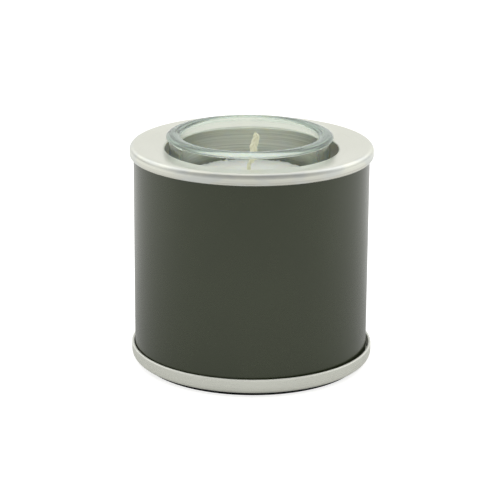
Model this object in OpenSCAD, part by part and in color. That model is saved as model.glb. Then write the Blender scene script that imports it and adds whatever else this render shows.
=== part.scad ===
// Candle tin: a lidless round metal holder with a candle in a lift-out glass cup.
// The cap and the well are one spun sheet. One screw pulls the well down on the tray, and
// so clamps the tube between the cap and the tray.
// Millimetres, +Z up. The origin is the centre of the foot pad's underside.

/* [Cap] */
// Diameter over the cap's rolled edge
cap_d = 80; // [72:0.5:100]
// Sheet thickness of the cap and the well
cap_t = 1; // [0.8:0.1:1.2]
// Height of the cap's edge
skirt_h = 3.8; // [3:0.1:6]
// Outer radius over which the face rolls down into the edge
roll_r = 1.7; // [1.7:0.1:2.2]
// Width of the cap's face, from its outer edge in to the well
face_w = 11.5; // [10:0.1:13]
// How far the face falls from the tube in to the well
face_drop = 1.25; // [0.5:0.05:1.5]
// Radius of the lip where the face rolls into the well
lip_r = 0.6; // [0.4:0.1:0.9]

/* [Tube] */
// Wall of the body tube
tube_t = 1.6; // [1:0.1:2.4]
// Length of the body tube
tube_h = 70.2; // [45:0.1:120]
// How far the chamfers on the tube's outer ends reach in past the start of the cap's roll
chamfer_room = 0.1; // [0.05:0.05:0.3]

/* [Tray] */
// Gap between the tube and the tray's upturned lip
lip_gap = 0.5; // [0.4:0.1:1.2]
// Wall of the tray's lip
lip_t = 0.9; // [0.8:0.1:1.4]
// Height of the tray over its underside
tray_h = 5.15; // [4:0.05:8]
// Floor of the tray
tray_floor = 1.6; // [1.4:0.1:2.4]
// Radius of the tray's outer bottom corner
tray_corner = 2.6; // [0.4:0.1:2.6]
// How far the tray stands off the tube's axis, towards +X
tray_shift = 0.3; // [0:0.05:0.3]

/* [Foot pad] */
// Thickness of the foam foot pad
pad_t = 1.3; // [0.8:0.1:3]
// How far the pad stays inside the tray's edge
pad_inset = 3.5; // [2.8:0.1:6]

/* [Well] */
// Inner radius of the well's bottom corner
well_corner = 2; // [1:0.1:2.2]

/* [Clamp] */
// Thread diameter of the clamp screw
screw_d = 5; // [4:1:5]
// Diameter of the screw's button head
head_d = 9.5; // [8.5:0.5:10]
// Height of the button head
head_h = 2.75; // [2.2:0.05:3.3]
// Hexagon socket in the head, across its flats
socket_af = 3; // [2.5:0.5:3.5]
// Depth of that socket
socket_h = 1.6; // [1:0.1:1.8]
// Washer diameter
washer_d = 10; // [9:0.5:12]
// Washer thickness
washer_t = 1; // [0.8:0.1:1.2]
// Nut, across its flats
nut_af = 8; // [7:0.5:8]
// Nut height
nut_h = 4.7; // [3.2:0.1:5.6]
// Room round the head in the well's dimple
head_room = 1.75; // [1:0.25:3]
// Room over the head, up to the level of the well's floor
head_cover = 0.65; // [0.2:0.05:2]
// Room for a spanner round the washer in the tray's recess
spanner_room = 6; // [3:0.5:9]
// Height of the tray's underside under the nut
nut_cover = 0.3; // [0.2:0.1:1]
// Height that stays free between the well and the tray when the screw is tight
clamp_gap = 1.7; // [1:0.1:6]

/* [Glass cup] */
// Gap between the cup's wall and the well
cup_gap = 2.05; // [2:0.05:5]
// Wall of the cup
cup_t = 3.95; // [2.5:0.05:4.5]
// How far the cup stands up over the cap's edge
cup_rise = 3.5; // [2:0.1:8]
// Floor of the cup
cup_floor = 5; // [3:0.5:8]
// Outer radius of the cup's bottom corner
cup_corner = 3; // [2.5:0.5:4]
// Inner radius of the cup's bottom corner
cup_inner_corner = 4; // [2:0.5:6]
// How far the bead at the rim stands out from the wall
bead_w = 0.95; // [0.4:0.05:1.1]
// Radius of the crown across the top of the rim
crown_r = 6; // [4:0.5:10]
// Radius of the rim's two edges
edge_r = 0.6; // [0.25:0.05:0.8]
// How far the cup stands off the well's axis, towards -X
cup_shift = 0.65; // [0:0.05:0.8]

/* [Candle] */
// Depth of the wax under the cup's rim
wax_drop = 14.5; // [8:0.1:30]
// Height of the wick over the wax
wick_out = 15; // [8:0.1:16]
// Width of the flat braided wick
wick_w = 2.7; // [2:0.1:3]
// Thickness of the wick
wick_t = 1.3; // [0.9:0.1:1.6]
// Height over the wax at which the wick has turned its flat side to the front
wick_turn = 5; // [3:0.1:6]
// Diameter of the sustainer's plate
sustainer_d = 15; // [12:0.5:20]
// Sheet thickness of the sustainer
sustainer_t = 0.3; // [0.2:0.05:0.5]
// Height of the sustainer's crimped collar
sustainer_h = 6; // [3:0.5:9]
// Diameter of the glue dot under the sustainer
sticker_d = 13; // [10:0.5:14]
// Thickness of the glue dot
sticker_t = 0.8; // [0.5:0.1:1.5]

/* [Fits] */
// Gap between the cap's edge and the tube
skirt_gap = 0.3; // [0.15:0.05:0.4]
// Gap round the screw in the well's floor
hole_gap = 0.25; // [0.15:0.05:0.5]
// Gap round the screw in the tray's floor, which leaves the tray free to sit off centre
tray_hole_gap = 0.6; // [0.4:0.05:1]
// Gap between the screw and the nut's thread, and round the screw in the washer
thread_gap = 0.05; // [0.02:0.01:0.1]
// Gap between the wax and what it was cast against
cast_gap = 0.03; // [0.01:0.01:0.08]

/* [Hidden] */
$fn = 120;
// Extra length of a cut past the face that it opens
over = 1;

// Heights, from the table up
tray_z = pad_t;
tube_z = tray_z + tray_floor;
top_z = tube_z + tube_h + cap_t;
nut_z = tray_z + nut_cover;
washer_z = nut_z + nut_h;
recess_z = washer_z + washer_t;
recess_h = recess_z - tray_z;
head_z = recess_z + tray_floor + clamp_gap + cap_t;
screw_len = head_z - nut_z;
dimple_h = head_h + head_cover;
well_floor_z = head_z + dimple_h;
cap_depth = top_z - well_floor_z;
well_depth = cap_depth - face_drop;
rim_z = top_z + cup_rise;
cup_z = well_floor_z;
cup_h = rim_z - cup_z;
cup_floor_z = cup_z + cup_floor;
wax_z = rim_z - wax_drop;
sustainer_z = cup_floor_z + sticker_t;
wick_z = sustainer_z + sustainer_t;

// Radii
cap_r = cap_d / 2;
tube_r = cap_r - cap_t - skirt_gap;
tube_ri = tube_r - tube_t;
tube_chamfer = roll_r - cap_t - skirt_gap + chamfer_room;
lip_ri = tube_r + lip_gap;
tray_r = lip_ri + lip_t;
pad_r = tray_r - pad_inset;
well_ri = cap_r - face_w;
well_r = well_ri + cap_t;
roll_x = cap_r - roll_r;
screw_r = screw_d / 2;
dimple_r = head_d / 2 + head_room;
recess_r = washer_d / 2 + spanner_room;
cup_r = well_ri - cup_gap;
cup_ri = cup_r - cup_t;
rim_r = cup_r + bead_w;
wax_r = cup_ri - cast_gap;
// Slope of the face, and the centre of the lip's circle that touches it and the well's wall
face_slope = atan(face_drop / (tube_ri - well_ri));
lip_x = well_ri + lip_r;
lip_z = well_depth + lip_r * tan(face_slope) - lip_r / cos(face_slope);
// Half the diagonal of the wick, which the sustainer's collar closes round
wick_diag = norm([wick_w, wick_t]) / 2;

// The crown's centre, and where the circles of the rim's two edges touch it from inside
crown_x = (cup_ri + rim_r) / 2;
crown_z = rim_z - crown_r;
edge_dx = rim_r - edge_r - crown_x;
edge_dz = sqrt(pow(crown_r - edge_r, 2) - pow(edge_dx, 2));

// Height over the wax at which the wick bends over to the right
wick_kink = wick_out - 4;
// How far the bend carries its end
wick_lean = 0.35;
// Height of its slanting cut end
wick_cut = 1.2;
// Left edge of the flat side, from the wick's axis
wick_left = -wick_t / 8;

// Foam pad that the tin stands on
module base_pad() {
    color("#1d1d20")
        translate([tray_shift, 0, 0])
            cylinder(r = pad_r, h = pad_t);
}

// A rectangle from its low corner to its high corner
module box2(x0, z0, x1, z1) {
    translate([x0, z0])
        square([x1 - x0, z1 - z0]);
}

// Half section of a round dish or plug with a rounded bottom corner
module dish_section(r, h, corner) {
    box2(0, 0, r - corner, h);
    box2(0, corner, r, h);
    translate([r - corner, corner])
        circle(r = corner);
}

// Half section of the tray, from its underside
module tray_section() {
    round_z = tray_h - lip_t / 2;
    difference() {
        union() {
            difference() {
                dish_section(tray_r, round_z, tray_corner);
                translate([0, tray_floor])
                    dish_section(lip_ri, tray_h, lip_gap / 2);
            }
            translate([tray_r - lip_t / 2, round_z])
                circle(d = lip_t);
            box2(0, 0, recess_r + tray_floor, recess_h + tray_floor);
        }
        box2(0, -over, recess_r, recess_h);
        box2(0, 0, screw_r + tray_hole_gap, recess_h + tray_floor + over);
    }
}

// Shallow dish with an upturned lip, pressed up in the middle over the nut
module base_tray() {
    color("#c3c5bd")
        translate([tray_shift, 0, tray_z])
            rotate_extrude()
                tray_section();
}

// Plain tube that stands on the tray, chamfered at both ends
module body_tube() {
    color("#40433a")
        translate([0, 0, tube_z])
            rotate_extrude()
                polygon([
                    [tube_ri, 0],
                    [tube_r - tube_chamfer, 0],
                    [tube_r, tube_chamfer],
                    [tube_r, tube_h - tube_chamfer],
                    [tube_r - tube_chamfer, tube_h],
                    [tube_ri, tube_h]
                ]);
}

// Half section of the cap's edge, its roll, the flat land over the tube and the falling face
module face_section() {
    box2(cap_r - cap_t, cap_depth - skirt_h, cap_r, cap_depth - roll_r);
    translate([roll_x, cap_depth - roll_r])
        intersection() {
            square(roll_r);
            difference() {
                circle(r = roll_r);
                circle(r = roll_r - cap_t);
            }
        }
    box2(tube_ri, cap_depth - cap_t, roll_x, cap_depth);
    polygon([
        [well_ri, well_depth - cap_t],
        [tube_ri, cap_depth - cap_t],
        [tube_ri, cap_depth],
        [well_ri, well_depth]
    ]);
}

// Half section of what the lip's rounding takes away between the well's wall and the face
module lip_cut() {
    reach = lip_r + over;
    difference() {
        polygon([
            [lip_x, lip_z],
            [lip_x - reach * sin(face_slope), lip_z + reach * cos(face_slope)],
            [well_ri - over, well_depth + over],
            [well_ri - over, lip_z]
        ]);
        translate([lip_x, lip_z])
            circle(r = lip_r);
    }
}

// Half section of the cap and the well, from the top of the well's floor
module cap_section() {
    difference() {
        union() {
            translate([0, -cap_t])
                dish_section(well_r, well_depth + cap_t, well_corner + cap_t);
            face_section();
            box2(0, -dimple_h - cap_t, dimple_r + cap_t, 0);
        }
        dish_section(well_ri, cap_depth, well_corner);
        lip_cut();
        box2(0, -dimple_h, dimple_r, over);
        box2(0, -dimple_h - cap_t - over, screw_r + hole_gap, 0);
    }
}

// Spun cap that sits over the tube, and the well drawn from its face for the cup to stand in
module well_cap() {
    color("#d2d4c9")
        translate([0, 0, well_floor_z])
            rotate_extrude()
                cap_section();
}

// Button-head screw, put in from the well, its head under the level of the well's floor
module clamp_screw() {
    head_r = head_d / 2;
    dome_r = (pow(head_r, 2) + pow(head_h, 2)) / (2 * head_h);
    tip = screw_r / 5;
    color("#8d9094")
        translate([0, 0, head_z])
            difference() {
                rotate_extrude()
                    union() {
                        intersection() {
                            box2(0, 0, head_r, head_h);
                            translate([0, head_h - dome_r])
                                circle(r = dome_r);
                        }
                        polygon([
                            [0, -screw_len],
                            [screw_r - tip, -screw_len],
                            [screw_r, tip - screw_len],
                            [screw_r, 0],
                            [0, 0]
                        ]);
                    }
                translate([0, 0, head_h - socket_h])
                    cylinder(d = socket_af / cos(30), h = socket_h + over, $fn = 6);
            }
}

// Washer between the tray and the nut
module clamp_washer() {
    color("#a4a7aa")
        translate([0, 0, washer_z])
            difference() {
                cylinder(d = washer_d, h = washer_t);
                translate([0, 0, -over])
                    cylinder(r = screw_r + thread_gap, h = washer_t + 2 * over);
            }
}

// Hexagon nut with both rims chamfered
module clamp_nut() {
    flat_r = nut_af / 2;
    corner_r = flat_r / cos(30);
    cone_r = corner_r + over;
    cone_h = (cone_r - flat_r) * tan(30);
    color("#a4a7aa")
        translate([0, 0, nut_z])
            difference() {
                intersection() {
                    cylinder(r = corner_r, h = nut_h, $fn = 6);
                    rotate_extrude()
                        polygon([
                            [0, 0],
                            [flat_r, 0],
                            [cone_r, cone_h],
                            [cone_r, nut_h - cone_h],
                            [flat_r, nut_h],
                            [0, nut_h]
                        ]);
                }
                translate([0, 0, -over])
                    cylinder(r = screw_r + thread_gap, h = nut_h + 2 * over);
            }
}

// Moves what belongs to the glass cup to where the cup stands
module at_cup() {
    translate([-cup_shift, 0, 0])
        children();
}

// Half section of the rim: a low crown between two rounded edges
module rim_section() {
    spread = (crown_r + over) / (crown_r - edge_r);
    intersection() {
        translate([crown_x, crown_z])
            circle(r = crown_r);
        polygon([
            [crown_x, crown_z],
            [crown_x + edge_dx * spread, crown_z + edge_dz * spread],
            [crown_x - edge_dx * spread, crown_z + edge_dz * spread]
        ]);
    }
    for (side = [-1, 1])
        translate([crown_x + side * edge_dx, crown_z + edge_dz])
            circle(r = edge_r);
    box2(crown_x - edge_dx - edge_r, crown_z, cup_r, crown_z + edge_dz);
}

// Thick clear cup that stands free on the well's floor and lifts out
module glass_cup() {
    color("#b9d3c6", 0.45)
        at_cup()
            rotate_extrude()
                union() {
                    difference() {
                        translate([0, cup_z])
                            dish_section(cup_r, crown_z - cup_z, cup_corner);
                        translate([0, cup_floor_z])
                            dish_section(cup_ri, cup_h, cup_inner_corner);
                    }
                    rim_section();
                }
}

// Plate and crimped collar that hold the wick's foot, grown by a margin for the wax round it
module sustainer_shape(margin) {
    collar_r = wick_diag + cast_gap + sustainer_t;
    translate([0, 0, sustainer_z - margin])
        cylinder(d = sustainer_d + 2 * margin, h = sustainer_t + 2 * margin);
    translate([0, 0, sustainer_z])
        cylinder(r = collar_r + margin, h = sustainer_h + margin);
}

// Upright part of the wick, set edge-on, grown by a margin for the wax round it
module wick_stem(h, margin) {
    half_t = wick_t / 2 + margin;
    half_w = wick_w / 2 + margin;
    translate([-half_t, -half_w, wick_z])
        cube([2 * half_t, 2 * half_w, h]);
}

// Wax poured round the wick
module wax() {
    color("#d6dacb")
        at_cup()
            difference() {
                translate([0, 0, cup_floor_z + cast_gap])
                    rotate_extrude()
                        dish_section(wax_r, wax_z - cup_floor_z - cast_gap, cup_inner_corner);
                translate([0, 0, cup_floor_z - over])
                    cylinder(d = sticker_d + 2 * cast_gap, h = sticker_t + over);
                sustainer_shape(cast_gap);
                wick_stem(wax_z - wick_z + over, cast_gap);
            }
}

// Flat braided wick: edge-on from the sustainer up, then turned flat and bent at its cut end
module wick() {
    right = wick_left + wick_w;
    color("#d8d6ba")
        at_cup() {
            wick_stem(wax_z + wick_turn - wick_z, 0);
            translate([0, wick_t / 2, wax_z])
                rotate([90, 0, 0])
                    linear_extrude(wick_t)
                        polygon([
                            [-wick_t / 2, wick_turn - wick_t],
                            [wick_t / 2, wick_turn - wick_t],
                            [right, wick_turn + wick_t],
                            [right, wick_kink],
                            [right + wick_lean, wick_out - wick_cut],
                            [right + wick_lean - wick_w / 2, wick_out],
                            [wick_left + 3 * wick_lean, wick_out - wick_cut],
                            [wick_left, wick_kink],
                            [wick_left, wick_turn + wick_t]
                        ]);
        }
}

// Sheet-metal foot that keeps the wick upright in the wax
module wick_sustainer() {
    color("#a9abad")
        at_cup()
            difference() {
                sustainer_shape(0);
                translate([0, 0, wick_z])
                    cylinder(r = wick_diag + cast_gap, h = sustainer_h + over);
            }
}

// Glue dot that holds the sustainer to the floor of the cup
module wick_sticker() {
    color("#e6e2d6")
        at_cup()
            translate([0, 0, cup_floor_z])
                cylinder(d = sticker_d, h = sticker_t);
}

base_pad();
base_tray();
body_tube();
well_cap();
clamp_screw();
clamp_washer();
clamp_nut();
glass_cup();
wax();
wick();
wick_sustainer();
wick_sticker();
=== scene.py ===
import math

import bmesh
import bpy
from mathutils import Matrix, Vector, noise


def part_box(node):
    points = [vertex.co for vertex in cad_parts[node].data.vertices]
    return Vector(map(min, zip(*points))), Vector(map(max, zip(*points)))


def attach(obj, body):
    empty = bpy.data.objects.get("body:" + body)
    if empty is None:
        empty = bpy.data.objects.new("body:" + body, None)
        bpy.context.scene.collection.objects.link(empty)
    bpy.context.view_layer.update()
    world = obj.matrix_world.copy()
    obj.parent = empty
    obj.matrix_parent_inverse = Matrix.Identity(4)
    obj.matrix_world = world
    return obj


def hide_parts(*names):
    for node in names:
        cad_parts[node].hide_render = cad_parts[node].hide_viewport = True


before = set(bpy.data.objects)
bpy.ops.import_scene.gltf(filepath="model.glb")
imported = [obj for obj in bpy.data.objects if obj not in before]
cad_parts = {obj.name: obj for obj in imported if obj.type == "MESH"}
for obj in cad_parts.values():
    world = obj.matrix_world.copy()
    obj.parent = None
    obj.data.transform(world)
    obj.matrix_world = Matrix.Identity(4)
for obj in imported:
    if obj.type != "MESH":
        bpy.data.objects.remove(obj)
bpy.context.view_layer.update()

MM = 0.001
FULL_TURN = 2 * math.pi

# ---------------------------------------------------------------- places taken from the frame
pad_low, pad_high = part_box("base_pad")
tray_low, tray_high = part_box("base_tray")
tube_low, tube_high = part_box("body_tube")
cap_low, cap_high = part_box("well_cap")
_, washer_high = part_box("clamp_washer")
cup_low, cup_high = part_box("glass_cup")
_, wax_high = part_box("wax")
wick_low, wick_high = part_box("wick")


def middle_x(low, high):
    """The X of a round piece's own axis."""
    return (low.x + high.x) / 2


def half_width(low, high):
    """The radius of a round piece."""
    return (high.x - low.x) / 2


tray_x = middle_x(tray_low, tray_high)
cup_x = middle_x(cup_low, cup_high)

# ---------------------------------------------------------------- shapes
# Faces round a spun piece, and round each of its rounded edges
SPIN_STEPS = 256
ROUND_STEPS = 8
# Corners nearer than this to the axis or to each other are one corner
TINY = 0.002 * MM


def finish_mesh(name, bm, body, slot, *nodes):
    """Turns a bmesh into a smooth piece that rides on a body in place of CAD nodes."""
    mesh = bpy.data.meshes.new(name)
    bm.to_mesh(mesh)
    bm.free()
    mesh.shade_smooth()
    piece = bpy.data.objects.new(name, mesh)
    bpy.context.scene.collection.objects.link(piece)
    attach(piece, body)
    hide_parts(*nodes)
    return piece


def even_shading(piece):
    """Lets the large faces of a piece keep their own shading up to their rounded edges."""
    weighted = piece.modifiers.new("even_shading", "WEIGHTED_NORMAL")
    weighted.weight = 100
    weighted.keep_sharp = True
    return piece


def half_section(bm, corners):
    """Draws a closed outline of (radius, height, rounding) corners and rounds them."""
    made = [bm.verts.new((radius, 0, height)) for radius, height, _ in corners]
    bm.faces.new(made)
    for rounding in sorted({corner[2] for corner in corners if corner[2]}):
        picked = [vert for vert, corner in zip(made, corners) if corner[2] == rounding]
        bmesh.ops.bevel(bm, geom=picked, offset=rounding, offset_type="OFFSET",
                        affect="VERTICES", segments=ROUND_STEPS, profile=0.5,
                        material=-1)


def spun(corners, axis_x=0.0):
    """Turns a half section about an upright axis."""
    bm = bmesh.new()
    half_section(bm, corners)
    bmesh.ops.delete(bm, geom=bm.faces[:], context="FACES_ONLY")
    on_axis = [edge for edge in bm.edges if all(vert.co.x < TINY for vert in edge.verts)]
    bmesh.ops.delete(bm, geom=on_axis, context="EDGES")
    bmesh.ops.spin(bm, geom=bm.verts[:] + bm.edges[:], cent=(0, 0, 0), axis=(0, 0, 1),
                   angle=FULL_TURN, steps=SPIN_STEPS, use_merge=True)
    bmesh.ops.remove_doubles(bm, verts=bm.verts[:], dist=TINY)
    bmesh.ops.recalc_face_normals(bm, faces=bm.faces[:])
    bmesh.ops.translate(bm, verts=bm.verts[:], vec=(axis_x, 0, 0))
    return bm


def foot_pad():
    """Foam disc under the tray, its edge pressed out a little."""
    radius = half_width(pad_low, pad_high)
    edge = 0.15 * MM
    bm = spun([
        (0, pad_low.z, 0),
        (radius, pad_low.z, edge),
        (radius, pad_high.z, edge),
        (0, pad_high.z, 0),
    ], middle_x(pad_low, pad_high))
    return even_shading(finish_mesh("foot_pad", bm, "holder", "foot_foam", "base_pad"))


def foot_tray():
    """Shallow dish with an upturned lip, pressed up in the middle over the nut."""
    radius = half_width(tray_low, tray_high)
    floor = tube_low.z - tray_low.z
    lip = 0.9 * MM
    lip_top = 5.15 * MM
    recess_r = 11 * MM
    recess_top = washer_high.z
    hole_r = 3.1 * MM
    corner = 2.6 * MM
    bend = 0.8 * MM
    edge = 0.12 * MM
    bm = spun([
        (hole_r, recess_top, edge),
        (recess_r, recess_top, bend / 2),
        (recess_r, tray_low.z, bend / 2),
        (radius, tray_low.z, corner),
        (radius, tray_low.z + lip_top, lip * 0.45),
        (radius - lip, tray_low.z + lip_top, lip * 0.35),
        (radius - lip, tube_low.z, 0.25 * MM),
        (recess_r + floor, tube_low.z, bend / 2),
        (recess_r + floor, tray_high.z, bend),
        (hole_r, tray_high.z, edge),
    ], tray_x)
    return even_shading(finish_mesh("foot_tray", bm, "holder", "tray_metal", "base_tray"))


def tube_shell():
    """Plain tube with its outer ends chamfered."""
    radius = half_width(tube_low, tube_high)
    wall = 1.6 * MM
    chamfer = 0.5 * MM
    soft = 0.12 * MM
    bm = spun([
        (radius - wall, tube_low.z, soft),
        (radius - chamfer, tube_low.z, soft),
        (radius, tube_low.z + chamfer, soft),
        (radius, tube_high.z - chamfer, soft),
        (radius - chamfer, tube_high.z, soft),
        (radius - wall, tube_high.z, soft),
    ])
    return even_shading(finish_mesh("tube_shell", bm, "holder", "tube_coat", "body_tube"))


def well_cap():
    """Spun cap: rolled edge, dished face, and a well with a dimple for the screw's head."""
    radius = half_width(cap_low, cap_high)
    sheet = cap_high.z - tube_high.z
    top = cap_high.z
    skirt_z = top - 3.8 * MM
    roll = 1.7 * MM
    land_r = half_width(tube_low, tube_high) - 1.6 * MM
    well_r = radius - 11.5 * MM
    well_z = top - 1.25 * MM
    floor_z = cup_low.z
    dimple_r = 6.5 * MM
    dimple_z = cap_low.z + sheet
    hole_r = 2.75 * MM
    corner = 2 * MM
    edge = 0.12 * MM
    bend = 0.4 * MM
    bm = spun([
        (hole_r, dimple_z, edge),
        (dimple_r, dimple_z, 0.5 * MM),
        (dimple_r, floor_z, bend),
        (well_r, floor_z, corner),
        (well_r, well_z, 0.6 * MM),
        (land_r, top, 2 * MM),
        (radius, top, roll),
        (radius, skirt_z, 0.7 * MM),
        (radius - sheet, skirt_z, 0.2 * MM + TINY),
        (radius - sheet, top - sheet, roll - sheet),
        (land_r, top - sheet, 2 * MM),
        (well_r + sheet, well_z - sheet, bend),
        (well_r + sheet, floor_z - sheet, corner + sheet),
        (dimple_r + sheet, floor_z - sheet, bend),
        (dimple_r + sheet, cap_low.z, 0.9 * MM),
        (hole_r, cap_low.z, edge),
    ])
    return even_shading(finish_mesh("well_cap", bm, "holder", "cap_metal", "well_cap"))


# ---------------------------------------------------------------- glass and wax
CUP_WALL_R = 26.45 * MM
CUP_INNER_R = 22.5 * MM
CUP_FLOOR = 5 * MM
# How far the round of the rim rises, and its faces from the bead to the inside
RIM_HIGH = 1.3 * MM
RIM_STEPS = 28


def rim_round(rim_r, rim_z):
    """The fire-polished top of the cup: half an ellipse from the bead over to the inside."""
    middle = (CUP_INNER_R + rim_r) / 2
    turns = [math.pi * index / RIM_STEPS for index in range(RIM_STEPS + 1)]
    return [(middle + (rim_r - middle) * math.cos(turn),
             rim_z - RIM_HIGH * (1 - math.sin(turn)), 0) for turn in turns]


def glass_cup():
    """Thick pressed cup with a crowned rim and a low bead round it."""
    rim_r = half_width(cup_low, cup_high)
    rim_z = cup_high.z
    foot_r = 14 * MM
    foot_z = cup_low.z + 0.6 * MM
    bm = spun([
        (0, foot_z, 0),
        (foot_r, foot_z, 3 * MM),
        (foot_r + 6 * MM, cup_low.z, 1.5 * MM),
        (CUP_WALL_R, cup_low.z, 3 * MM),
        (CUP_WALL_R, rim_z - RIM_HIGH - 0.5 * MM, 0.25 * MM),
        *rim_round(rim_r, rim_z),
        (CUP_INNER_R, cup_low.z + CUP_FLOOR, 4 * MM),
        (0, cup_low.z + CUP_FLOOR, 0),
    ], cup_x)
    return finish_mesh("glass", bm, "candle", "cup_glass", "glass_cup")


# The wax reaches this far into the glass's bore, so that it looks wet to the glass
WET = 0.05 * MM
# The rings of its skin, as shares of its radius, closer where the skin is ragged
SKIN_RINGS = (0.985, 0.97, 0.95, 0.93, 0.91, 0.88, 0.84,
              0.78, 0.7, 0.6, 0.5, 0.4, 0.3, 0.2, 0.1)
# The share of its radius at which the skin starts to be ragged
RAGGED_FROM = 0.86


def skin_height(spot, edge_r):
    """How far the set wax stands off its level: gently uneven, and ragged by the glass."""
    around = Vector((spot.x - cup_x, spot.y, 0))
    near = max(0.0, around.length / edge_r - RAGGED_FROM) / (1 - RAGGED_FROM)
    swell = noise.noise(around / (7 * MM)) * 0.16 * MM
    crust = noise.noise(around / (1.1 * MM)) + 0.6 * noise.noise(around / (0.45 * MM))
    return swell + near * near * (0.9 * crust - 0.3) * MM


def wax_fill():
    """Poured wax, wet to the glass, with the uneven skin that forms as it sets."""
    radius = CUP_INNER_R + WET
    floor_z = cup_low.z + CUP_FLOOR
    level = wax_high.z
    rings = [(share * radius, level, 0) for share in SKIN_RINGS]
    # Two rings under the level keep the ragged edge's shading off the wall
    bm = spun([
        (0, floor_z + WET, 0),
        (radius, floor_z + WET, 4 * MM),
        (radius, level - 3 * MM, 0),
        (radius, level - 2.5 * MM, 0),
        (radius, level, 0),
        *rings,
        (0, level, 0),
    ], cup_x)
    for vert in bm.verts:
        if vert.co.z > level - TINY:
            vert.co.z += skin_height(vert.co, radius)
    return finish_mesh("wax_fill", bm, "candle", "candle_wax", "wax")


# ---------------------------------------------------------------- wick
STRANDS = 3
# Where the wick's middle stands off the cup's axis, by the height over the wax, in mm
WICK_BENDS = [(3.9, -0.25), (5.9, 1.1), (9.6, 1.25), (12.9, 2.05)]


def smooth_step(share):
    """Rises from 0 to 1 without a corner at either end."""
    share = min(1.0, max(0.0, share))
    return share * share * (3 - 2 * share)


def wick_centre(height):
    """The X of the wick's middle: straight in the wax, then leaning right in two bends."""
    middle = WICK_BENDS[0][1]
    for (low, start), (high, end) in zip(WICK_BENDS, WICK_BENDS[1:]):
        middle += (end - start) * smooth_step((height / MM - low) / (high - low))
    return cup_x + middle * MM


def wick_turn(height):
    """How far the flat side has turned away from the front: edge-on low down, flat above."""
    return math.pi / 2 * (1 - smooth_step((height - 4 * MM) / (2 * MM)))


# The pointed end: how far its tip is off the middle and under the top, and its two cuts
TIP_SIDE = -0.25 * MM
TIP_DROP = 0.35 * MM
TIP_CUTS = [(0.55, 0, 0.84), (-0.72, 0, 0.69)]


def strand(phase):
    """One strand of the flat braid, as a tube along a flat figure of eight."""
    pitch = 6.4 * MM
    step = 0.25 * MM
    sway = 0.69 * MM
    weave = 0.06 * MM
    count = int((wick_high.z - wick_low.z) / step) + 1
    curve = bpy.data.curves.new("strand", "CURVE")
    curve.dimensions = "3D"
    curve.bevel_depth = 0.64 * MM
    curve.bevel_resolution = 3
    curve.use_fill_caps = True
    line = curve.splines.new("POLY")
    line.points.add(count - 1)
    for index, point in enumerate(line.points):
        height = wick_low.z + (wick_high.z - wick_low.z) * index / (count - 1)
        turn = FULL_TURN * (height - wick_low.z) / pitch + phase
        point.co = (sway * math.sin(turn), weave * math.sin(2 * turn), height, 1)
    holder = bpy.data.objects.new("strand", curve)
    bpy.context.scene.collection.objects.link(holder)
    mesh = bpy.data.meshes.new_from_object(holder)
    bpy.data.objects.remove(holder)
    return mesh


def braided_wick():
    """Three flattened strands, plaited, cut to a point, then turned and leaned."""
    bm = bmesh.new()
    for index in range(STRANDS):
        bm.from_mesh(strand(FULL_TURN * index / STRANDS))
    for slant in TIP_CUTS:
        bmesh.ops.bisect_plane(bm, geom=bm.verts[:] + bm.edges[:] + bm.faces[:],
                               plane_co=(TIP_SIDE, 0, wick_high.z - TIP_DROP),
                               plane_no=slant, clear_outer=True)
        open_edges = [edge for edge in bm.edges if edge.is_boundary]
        bmesh.ops.holes_fill(bm, edges=open_edges, sides=0)
    for vert in bm.verts:
        height = vert.co.z - wax_high.z
        turn = wick_turn(height)
        taper = 1 - 0.2 * smooth_step((height - 11.5 * MM) / (2.5 * MM))
        flat, deep = taper * vert.co.x, vert.co.y
        vert.co.x = wick_centre(height) + flat * math.cos(turn) - deep * math.sin(turn)
        vert.co.y = flat * math.sin(turn) + deep * math.cos(turn)
    bmesh.ops.recalc_face_normals(bm, faces=bm.faces[:])
    return finish_mesh("braided_wick", bm, "candle", "wick_cotton", "wick")


# ---------------------------------------------------------------- materials
WHITE = (1, 1, 1, 1)


class Signal:
    """An output socket of a finish's node tree that works in Python sums."""

    def __init__(self, finish, socket):
        self.finish = finish
        self.socket = socket

    def sum(self, operation, *values):
        """One Math node."""
        return self.finish.node("ShaderNodeMath", {"operation": operation},
                                dict(enumerate(values)))

    def __add__(self, other):
        return self.sum("ADD", self, other)

    def __sub__(self, other):
        return self.sum("SUBTRACT", self, other)

    def __rsub__(self, other):
        return self.sum("SUBTRACT", other, self)

    def __mul__(self, other):
        return self.sum("MULTIPLY", self, other)

    def __rmul__(self, other):
        return self.sum("MULTIPLY", other, self)

    def __truediv__(self, other):
        return self.sum("DIVIDE", self, other)

    def __pow__(self, other):
        return self.sum("POWER", self, other)

    def clamped(self):
        """Kept between 0 and 1."""
        return self.sum("MINIMUM", self.sum("MAXIMUM", self, 0), 1)

    def rise(self, start, width):
        """0 up to a start, then up to 1 over a width."""
        return ((self - start) / width).clamped()

    def fall(self, end, width):
        """1 up to a width before the end, then down to 0 at the end."""
        return ((end - self) / width).clamped()


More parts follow.
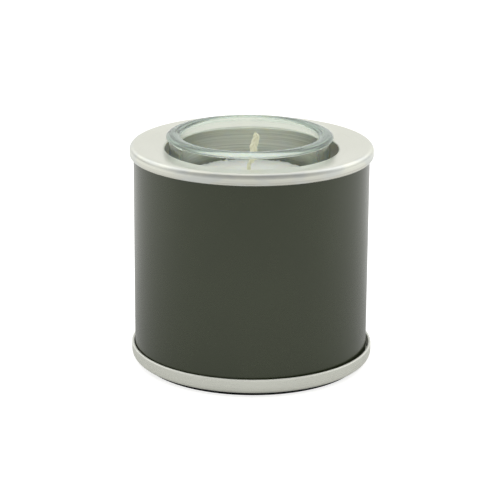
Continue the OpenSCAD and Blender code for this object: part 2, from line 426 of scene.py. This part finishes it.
class Finish:
    """A node tree under construction. Every node but a sum comes from node()."""

    def __init__(self, owner):
        owner.use_nodes = True
        self.owner = owner
        self.tree = owner.node_tree
        self.tree.nodes.clear()

    def node(self, kind, settings=None, sockets=None, output=0):
        """Makes a node, sets it, and fills its sockets from signals or plain values."""
        made = self.tree.nodes.new(kind)
        for name, value in (settings or {}).items():
            setattr(made, name, value)
        for name, value in (sockets or {}).items():
            if isinstance(value, Signal):
                self.tree.links.new(value.socket, made.inputs[name])
            else:
                made.inputs[name].default_value = value
        return Signal(self, made.outputs[output] if made.outputs else None)

    def ramp(self, value, stops):
        """A colour that follows a value through (position, colour) stops."""
        made = self.tree.nodes.new("ShaderNodeValToRGB")
        while len(made.color_ramp.elements) < len(stops):
            made.color_ramp.elements.new(1)
        for element, (position, colour) in zip(made.color_ramp.elements, stops):
            element.position = position
            element.color = (*colour, 1)
        self.tree.links.new(value.socket, made.inputs["Fac"])
        return Signal(self, made.outputs["Color"])

    def mix(self, share, first, second):
        """Blends two colours."""
        sockets = {0: share, 6: first, 7: second}
        return self.node("ShaderNodeMix", {"data_type": "RGBA"}, sockets, 2)

    def place(self, centre=(0, 0, 0), scale=(1, 1, 1)):
        """Object coordinates, measured from a centre."""
        point = self.node("ShaderNodeTexCoord", output="Object")
        shift = tuple(-c * s for c, s in zip(centre, scale))
        return self.node("ShaderNodeMapping", {}, {"Vector": point, "Location": shift,
                                                   "Scale": scale})

    def noise(self, point, scale, detail=2.0, roughness=0.5):
        """Soft random values about 0.5."""
        return self.node("ShaderNodeTexNoise", {}, {
            "Vector": point, "Scale": scale, "Detail": detail, "Roughness": roughness})

    def split(self, point):
        """The X, Y and Z of a point, each as a value."""
        return [self.node("ShaderNodeSeparateXYZ", {}, {0: point}, axis) for axis in "XYZ"]

    def round_place(self, centre_x=0.0):
        """(distance from the upright axis, angle about it, height), each as a value."""
        x, y, z = self.split(self.place((centre_x, 0, 0)))
        radius = (x * x + y * y) ** 0.5
        return radius, x.sum("ARCTAN2", y, x), z

    def hair_lines(self, radius, angle, height):
        """Very fine lines that run round the upright axis."""
        along = self.vector(radius * 9000, height * 9000, angle * 0.6)
        return self.noise(along, 1.0, 3.0, 0.6)

    def ray(self, kind):
        """1 on light paths of one kind, else 0."""
        return self.node("ShaderNodeLightPath", output=kind)

    def vector(self, x, y, z):
        """A point from three values."""
        return self.node("ShaderNodeCombineXYZ", {}, {0: x, 1: y, 2: z})

    def bump(self, height, distance, strength):
        """A normal that follows a fine relief."""
        return self.node("ShaderNodeBump", {}, {
            "Height": height, "Distance": distance, "Strength": strength}, "Normal")

    def surface(self, sockets):
        """Ends the tree in one principled surface."""
        shader = self.node("ShaderNodeBsdfPrincipled", {}, sockets)
        self.node("ShaderNodeOutputMaterial", {}, {"Surface": shader})
        return self.owner


def new_finish(name):
    """An empty material."""
    return Finish(bpy.data.materials.new(name))


def tray_metal():
    """Satin metal with fine lines that run round the axis; the top of its lip is made less
    metallic as a painted highlight line.
    """
    finish = new_finish("tray_metal")
    radius, angle, height = finish.round_place(tray_x)
    # Painted highlight: the band at the top of the lip loses most of its metal, so it shows
    # pale like a highlight line along the lip
    cut = height.rise(tray_low.z + 4.75 * MM, 0.15 * MM)
    fine = finish.hair_lines(radius, angle, height)
    wide = finish.noise(finish.vector(radius * 1500, height * 1500, angle * 2), 1.0, 2.0)
    cloud = finish.noise(finish.place(), 60, 3.0)
    tone = (fine * 0.45 + wide * 0.25 + cloud * 0.3).clamped()
    colour = finish.ramp(tone, [(0.3, (0.80, 0.81, 0.73)), (0.7, (0.86, 0.87, 0.79))])
    return finish.surface({
        "Base Color": colour,
        "Metallic": 1 - cut * 0.75,
        "Roughness": (tone - 0.5) * 0.25 + 0.28,
        "Anisotropic": 0.6,
        "Normal": finish.bump(fine * 0.7 + wide * 0.3, 0.006 * MM, 0.25),
    })


def cap_metal():
    """Satin face with a fine grain, darker painted reflection streaks on its rolled edge, and
    lines round the well on a wall darkened with painted shade.
    """
    finish = new_finish("cap_metal")
    radius, angle, height = finish.round_place()
    inside = height.fall(cap_high.z - 1.6 * MM, 1.2 * MM)
    grain = finish.hair_lines(radius, angle, height)
    lines = finish.noise(finish.vector(height * 2600, angle * 0.35, 0), 1.0, 4.0, 0.7)
    cloud = finish.noise(finish.place(), 60, 3.0)
    face = finish.ramp(grain * 0.5 + cloud * 0.5, [
        (0.35, (0.86, 0.87, 0.77)), (0.65, (0.90, 0.91, 0.81))])
    # Painted reflection: darker grey streaks mixed into the rolled edge's colour stand in for
    # the bands the roll mirrors
    streak = finish.noise(finish.vector(angle * 4, height * 260, 0), 1.0, 2.0)
    rolled = radius.rise(38.4 * MM, 0.8 * MM) * ((streak - 0.42) * 6).clamped()
    # The well's wall: its turning lines are real, but its tone darker than the face is painted
    # shade inside the well
    wall = finish.ramp(lines, [(0.38, (0.62, 0.62, 0.55)), (0.62, (0.88, 0.88, 0.80))])
    plain = finish.mix(inside, face, wall)
    return finish.surface({
        "Base Color": finish.mix(rolled * 0.7, plain, (0.72, 0.75, 0.73, 1)),
        "Metallic": 1.0,
        "Roughness": (grain - 0.5) * 0.2 + (lines - 0.5) * inside * 0.3 + 0.31 + inside * 0.09,
        "Anisotropic": 0.5,
        "Normal": finish.bump(grain * (1 - inside) * 0.35 + lines * inside, 0.006 * MM, 0.4),
    })


def tube_paint():
    """Dark satin coat over metal."""
    finish = new_finish("tube_paint")
    point = finish.place()
    cloud = finish.noise(point, 45, 4.0, 0.6)
    grain = finish.noise(point, 2600, 2.0)
    colour = finish.ramp(cloud * 0.7 + grain * 0.3, [
        (0.35, (0.009, 0.014, 0.003)), (0.65, (0.014, 0.020, 0.006))])
    return finish.surface({
        "Base Color": colour,
        "Metallic": 0.0,
        "Roughness": cloud * 0.08 + grain * 0.04 + 0.21,
        "Specular IOR Level": 0.95,
        "Specular Tint": (0.93, 0.97, 0.82, 1),
        "Normal": finish.bump(grain, 0.004 * MM, 0.2),
    })


def foam():
    """Black closed-cell foam."""
    finish = new_finish("foam")
    point = finish.place()
    cells = finish.node("ShaderNodeTexVoronoi", {}, {"Vector": point, "Scale": 3200})
    cloud = finish.noise(point, 200, 3.0)
    colour = finish.ramp(cloud, [(0.3, (0.004, 0.004, 0.005)), (0.7, (0.009, 0.009, 0.011))])
    return finish.surface({
        "Base Color": colour,
        "Roughness": cells * 0.2 + 0.75,
        "Specular IOR Level": 0.25,
        "Normal": finish.bump(cells, 0.05 * MM, 0.6),
    })


# The most that the rim's share of painted light comes to
RIM_PAINTED_LIGHT = 0.4


def clear_glass():
    """Thick glass with a blue-green tint along long paths, and painted light on the rim."""
    finish = new_finish("clear_glass")
    ripple = finish.noise(finish.place(scale=(1, 1, 0.4)), 120, 2.0)
    tint = finish.node("ShaderNodeVolumeAbsorption", {}, {
        "Color": (0.70, 0.93, 0.82, 1), "Density": 30.0})
    clear = finish.node("ShaderNodeBsdfPrincipled", {}, {
        "Base Color": WHITE,
        "Roughness": 0.0,
        "IOR": 1.45,
        "Transmission Weight": 1.0,
        "Normal": finish.bump(ripple, 0.06 * MM, 0.5),
    })
    # Painted light: a pale teal diffuse surface, mixed into the rim in streaks, stands in for
    # the light the glass wall carries up to its rim, with painted highlights
    cloudy = finish.node("ShaderNodeBsdfPrincipled", {}, {
        "Base Color": (0.72, 0.88, 0.75, 1),
        "Roughness": 0.15,
    })
    radius, angle, height = finish.round_place(cup_x)
    streak = finish.noise(finish.vector(radius * 1500, height * 900, angle * 1.5), 1.0, 2.0)
    rim = height.rise(cup_high.z - 1.9 * MM, 0.6 * MM)
    share = rim * RIM_PAINTED_LIGHT * ((streak - 0.24) * 3.2).clamped()
    both = finish.node("ShaderNodeMixShader", {}, {0: share, 1: clear, 2: cloudy})
    finish.node("ShaderNodeOutputMaterial", {}, {"Surface": both, "Volume": tint})
    return finish.owner


def wax_skin():
    """Pale poured wax with a cloudy, slightly mottled skin."""
    finish = new_finish("wax_skin")
    point = finish.place()
    cloud = finish.noise(point, 180, 4.0, 0.6)
    fleck = finish.noise(point, 900, 3.0)
    colour = finish.ramp(cloud * 0.7 + fleck * 0.3, [
        (0.35, (0.97, 0.95, 0.83)), (0.65, (0.99, 0.98, 0.88))])
    return finish.surface({
        "Base Color": colour,
        "Roughness": cloud * 0.2 + 0.35,
        "Subsurface Weight": 1.0,
        "Subsurface Radius": (1.0, 0.9, 0.7),
        "Subsurface Scale": 0.002,
        "Normal": finish.bump(cloud * 0.6 + fleck * 0.4, 0.15 * MM, 0.4),
    })


def cotton():
    """Waxed cream cotton with a fine fuzz."""
    finish = new_finish("cotton")
    point = finish.place(scale=(1, 1, 0.7))
    fuzz = finish.noise(point, 4200, 3.0)
    patch = finish.noise(point, 700, 2.0)
    colour = finish.ramp(fuzz * 0.5 + patch * 0.5, [
        (0.3, (0.82, 0.81, 0.58)), (0.7, (0.94, 0.93, 0.73))])
    return finish.surface({
        "Base Color": colour,
        "Roughness": fuzz * 0.2 + 0.5,
        "Normal": finish.bump(fuzz, 0.08 * MM, 0.6),
    })


def zinc():
    """Zinc-plated steel with faint clouds."""
    finish = new_finish("zinc")
    point = finish.place()
    cloud = finish.noise(point, 500, 3.0)
    colour = finish.ramp(cloud, [(0.3, (0.50, 0.52, 0.55)), (0.7, (0.64, 0.66, 0.68))])
    return finish.surface({
        "Base Color": colour,
        "Metallic": 1.0,
        "Roughness": cloud * 0.2 + 0.25,
    })


def glue():
    """Milky glue dot."""
    finish = new_finish("glue")
    cloud = finish.noise(finish.place(), 400, 3.0)
    colour = finish.ramp(cloud, [(0.3, (0.78, 0.76, 0.68)), (0.7, (0.86, 0.84, 0.77))])
    return finish.surface({"Base Color": colour, "Roughness": cloud * 0.2 + 0.3})


def dress(piece, material):
    """Gives a piece one material."""
    piece.data.materials.clear()
    piece.data.materials.append(material)


# ---------------------------------------------------------------- studio
# How much light metal finds in the floor: anywhere near, straight behind, and at the sides
FLOOR_SHEEN = 0.12
BACK_SHEEN = 0.45
SIDE_SHEEN = 0.12


def floor():
    """Pale floor: white to the eye, with the object's shadow on it, and dim sheens in metal."""
    bm = bmesh.new()
    bmesh.ops.create_grid(bm, x_segments=1, y_segments=1, size=4.0)
    mesh = bpy.data.meshes.new("floor")
    bm.to_mesh(mesh)
    bm.free()
    ground = bpy.data.objects.new("floor", mesh)
    bpy.context.scene.collection.objects.link(ground)
    finish = new_finish("floor_paint")
    grain = finish.noise(finish.place(), 40, 3.0)
    colour = finish.ramp(grain, [(0.3, (0.59, 0.59, 0.58)), (0.7, (0.61, 0.61, 0.60))])
    matt = finish.node("ShaderNodeBsdfDiffuse", {}, {"Color": colour})
    x, y, _ = finish.split(finish.place())
    near = y.rise(-0.33, 0.15)
    behind = y.rise(0.05, 0.15) * (1 - x * x / 0.05).clamped()
    beside = (x * x).rise(0.01, 0.04) * y.rise(-0.12, 0.1)
    sheen = near * FLOOR_SHEEN + behind * BACK_SHEEN + beside * SIDE_SHEEN
    clear = finish.ray("Is Camera Ray") + finish.ray("Is Transmission Ray")
    glow = clear * 0.7 + finish.ray("Is Glossy Ray") * sheen
    lift = finish.node("ShaderNodeEmission", {}, {"Color": WHITE, "Strength": glow})
    both = finish.node("ShaderNodeAddShader", {}, {0: matt, 1: lift})
    finish.node("ShaderNodeOutputMaterial", {}, {"Surface": both})
    dress(ground, finish.owner)


# The light that falls on things, what metal sees behind them, and how much darker metal
# sees the front, low down and overhead, and the sides
ROOM_LIGHT = 1.0
BACK_LIGHT = 0.84
LOW_DROP = 0.3
HIGH_DROP = 0.25
SIDE_DROP = 0.36


def studio_walls():
    """World: white to the eye, with a dim card in front and overhead for the metal to show."""
    world = bpy.data.worlds.new("studio")
    bpy.context.scene.world = world
    finish = Finish(world)
    x, y, z = finish.split(finish.node("ShaderNodeTexCoord", output="Generated"))
    front = y.fall(0.2, 0.75 - 0.45 * z) * (HIGH_DROP * z + LOW_DROP)
    beside = y.rise(0.15, 0.2) * y.fall(0.85, 0.2)
    side = beside * (x * x).rise(0.3, 0.3) * (0.5 - 0.35 * x) * SIDE_DROP
    card = BACK_LIGHT - front - side
    mirrored = finish.ray("Is Glossy Ray")
    room = mirrored * card + (1 - mirrored) * ROOM_LIGHT
    clear = (finish.ray("Is Camera Ray") + finish.ray("Is Transmission Ray")).clamped()
    strength = clear + (1 - clear) * room
    glow = finish.node("ShaderNodeBackground", {}, {"Color": WHITE, "Strength": strength})
    finish.node("ShaderNodeOutputWorld", {}, {"Surface": glow})


LAMP_SIZE = 0.9
LAMP_POWER = 1.2
LAMP_AIM = (0, 0, 0.04)


def softbox(name, place):
    """A square area lamp turned to the middle of the object."""
    lamp = bpy.data.lights.new(name, "AREA")
    lamp.shape = "SQUARE"
    lamp.size = LAMP_SIZE
    lamp.energy = LAMP_POWER
    holder = bpy.data.objects.new(name, lamp)
    holder.location = place
    towards = Vector(LAMP_AIM) - Vector(place)
    holder.rotation_euler = towards.to_track_quat("-Z", "Y").to_euler()
    bpy.context.scene.collection.objects.link(holder)


def camera():
    """A long lens a little over the object, looking down on it from the front."""
    lens = bpy.data.cameras.new("camera")
    lens.sensor_width = 36
    lens.lens = 151.1
    lens.clip_start = 0.05
    view = bpy.data.objects.new("camera", lens)
    view.location = (-0.35 * MM, -666.1 * MM, 244.2 * MM)
    tilt = math.radians(90 - 17.24)
    roll = math.radians(0.38)
    aim = Matrix.Rotation(tilt, 4, "X") @ Matrix.Rotation(roll, 4, "Z")
    view.rotation_euler = aim.to_euler()
    bpy.context.scene.collection.objects.link(view)
    bpy.context.scene.camera = view


def main():
    """Sets up the studio, then builds and dresses each piece."""
    bpy.context.scene.view_settings.view_transform = "Standard"
    camera()
    studio_walls()
    floor()
    softbox("left_softbox", (-0.78, 0.5, 0.77))
    softbox("right_softbox", (0.78, 0.5, 0.77))

    dress(foot_pad(), foam())
    dress(foot_tray(), tray_metal())
    dress(tube_shell(), tube_paint())
    dress(well_cap(), cap_metal())
    dress(glass_cup(), clear_glass())
    dress(wax_fill(), wax_skin())
    dress(braided_wick(), cotton())
    plated = zinc()
    for node in ("clamp_screw", "clamp_washer", "clamp_nut", "wick_sustainer"):
        dress(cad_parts[node], plated)
    dress(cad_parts["wick_sticker"], glue())


main()
